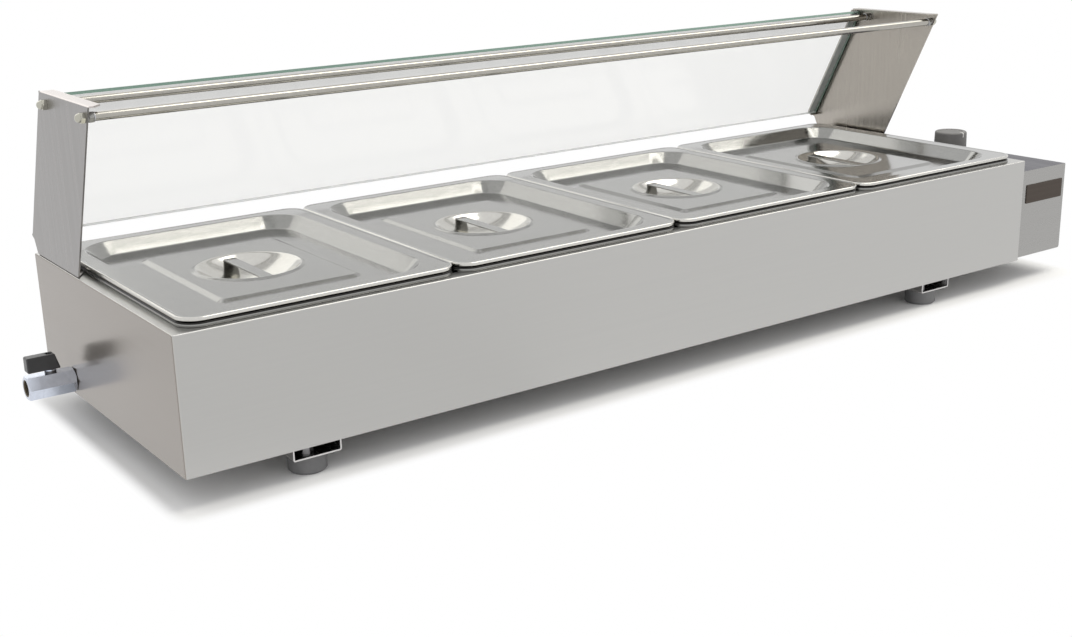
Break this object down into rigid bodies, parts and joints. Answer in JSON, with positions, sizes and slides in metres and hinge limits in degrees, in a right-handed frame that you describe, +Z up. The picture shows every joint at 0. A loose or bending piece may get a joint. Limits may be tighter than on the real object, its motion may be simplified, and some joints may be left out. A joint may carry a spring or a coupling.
{
  "type": "bain marie",
  "caption": "Counter-top bain marie: folded steel casing with a water tank, lidded pans that lift, leaning glass guard, side drain valve and thermostat knob.",
  "frame": {"origin": "under the middle of the whole object, on the surface that its feet stand on", "axes": "+X along the casing towards the control box, +Y from the front to the back, +Z up"},
  "size_m": [1.216, 0.366, 0.319],
  "materials": {
    "casing_steel": "brushed along its length",
    "plain_steel": "mill finish",
    "tank_steel": "mill finish",
    "mineral_wool": "fibrous",
    "rubber": "moulded, matt",
    "zinc": "zinc plated",
    "box_steel": "brushed along its length",
    "dark_plate": "satin, bare",
    "ivory_plastic": "moulded",
    "brass": "turned",
    "knob_plastic": "moulded, fine grain",
    "copper": "drawn tube",
    "wire_cover": "extruded",
    "black_plastic": "moulded",
    "element_steel": "heat darkened",
    "valve_chrome": "plated",
    "white_plastic": "turned",
    "guard_steel": "brushed along its height",
    "clear_glass": "polished edges",
    "seal_strip": "soft strip",
    "polished_steel": "polished",
    "pan_steel": "pressed, satin",
    "lid_steel": "pressed, half polished"
  },
  "bodies": {
    "casing": {"outer_casing": "casing_steel", "base_plate": "plain_steel", "inner_tank": "tank_steel", "insulation": "mineral_wool", "channel_left": "casing_steel", "channel_right": "casing_steel", "feet": "rubber", "foot_screws": "zinc", "foot_nuts": "zinc", "control_box": "box_steel", "control_box_base": "plain_steel", "box_screws": "zinc", "bare_plate": "dark_plate", "thermostat_body": "ivory_plastic", "thermostat_screws": "zinc", "sensing_bulb": "copper", "bulb_clips": "plain_steel", "terminal_block": "ivory_plastic", "wiring": "wire_cover", "earth_stud": "brass", "cable_gland": "black_plastic", "gland_nut": "black_plastic", "heating_element": "element_steel", "element_nuts": "brass", "element_seals": "rubber", "element_supports": "tank_steel", "drain_pipe": "plain_steel", "valve_body": "valve_chrome", "valve_insert": "valve_chrome", "valve_seats": "white_plastic", "packing_nut": "valve_chrome", "guard_plate_left": "guard_steel", "guard_plate_right": "guard_steel", "glass_pane": "clear_glass", "glass_strips": "seal_strip", "front_rod": "polished_steel", "back_rod": "polished_steel", "rod_nuts": "polished_steel", "rod_washers": "zinc", "dome_nuts": "polished_steel", "guard_screws": "polished_steel"},
    "knob": {"knob": "knob_plastic", "thermostat_shaft": "brass"},
    "valve_handle": {"valve_lever": "black_plastic", "lever_screw": "zinc", "valve_stem": "valve_chrome", "valve_ball": "valve_chrome"},
    "pan_1": {"pan_1": "pan_steel"},
    "lid_1": {"lid_1": "lid_steel", "lid_handle_1": "lid_steel"},
    "pan_2": {"pan_2": "pan_steel"},
    "lid_2": {"lid_2": "lid_steel", "lid_handle_2": "lid_steel"},
    "pan_3": {"pan_3": "pan_steel"},
    "lid_3": {"lid_3": "lid_steel", "lid_handle_3": "lid_steel"},
    "pan_4": {"pan_4": "pan_steel"},
    "lid_4": {"lid_4": "lid_steel", "lid_handle_4": "lid_steel"}
  },
  "joints": [
    {"name": "knob_turn", "type": "hinge", "parent": "casing", "child": "knob", "pos_m": [0.566, -0.035, 0.1485], "axis": [0, 0, -1], "range_deg": [0, 270]},
    {"name": "valve_turn", "type": "hinge", "parent": "casing", "child": "valve_handle", "pos_m": [-0.5835, 0.087, 0.0585], "axis": [0, 0, -1], "range_deg": [0, 90]},
    {"name": "pan_1_lift", "type": "slide", "parent": "casing", "child": "pan_1", "axis": [0, 0, 1], "range_m": [0, 0.025]},
    {"name": "lid_1_lift", "type": "slide", "parent": "pan_1", "child": "lid_1", "axis": [0, -0.4638, 0.8859], "range_m": [0, 0.08]},
    {"name": "pan_2_lift", "type": "slide", "parent": "casing", "child": "pan_2", "axis": [0, 0, 1], "range_m": [0, 0.025]},
    {"name": "lid_2_lift", "type": "slide", "parent": "pan_2", "child": "lid_2", "axis": [0, -0.4638, 0.8859], "range_m": [0, 0.08]},
    {"name": "pan_3_lift", "type": "slide", "parent": "casing", "child": "pan_3", "axis": [0, 0, 1], "range_m": [0, 0.025]},
    {"name": "lid_3_lift", "type": "slide", "parent": "pan_3", "child": "lid_3", "axis": [0, -0.4638, 0.8859], "range_m": [0, 0.08]},
    {"name": "pan_4_lift", "type": "slide", "parent": "casing", "child": "pan_4", "axis": [0, 0, 1], "range_m": [0, 0.025]},
    {"name": "lid_4_lift", "type": "slide", "parent": "pan_4", "child": "lid_4", "axis": [0, -0.4638, 0.8859], "range_m": [0, 0.08]}
  ]
}
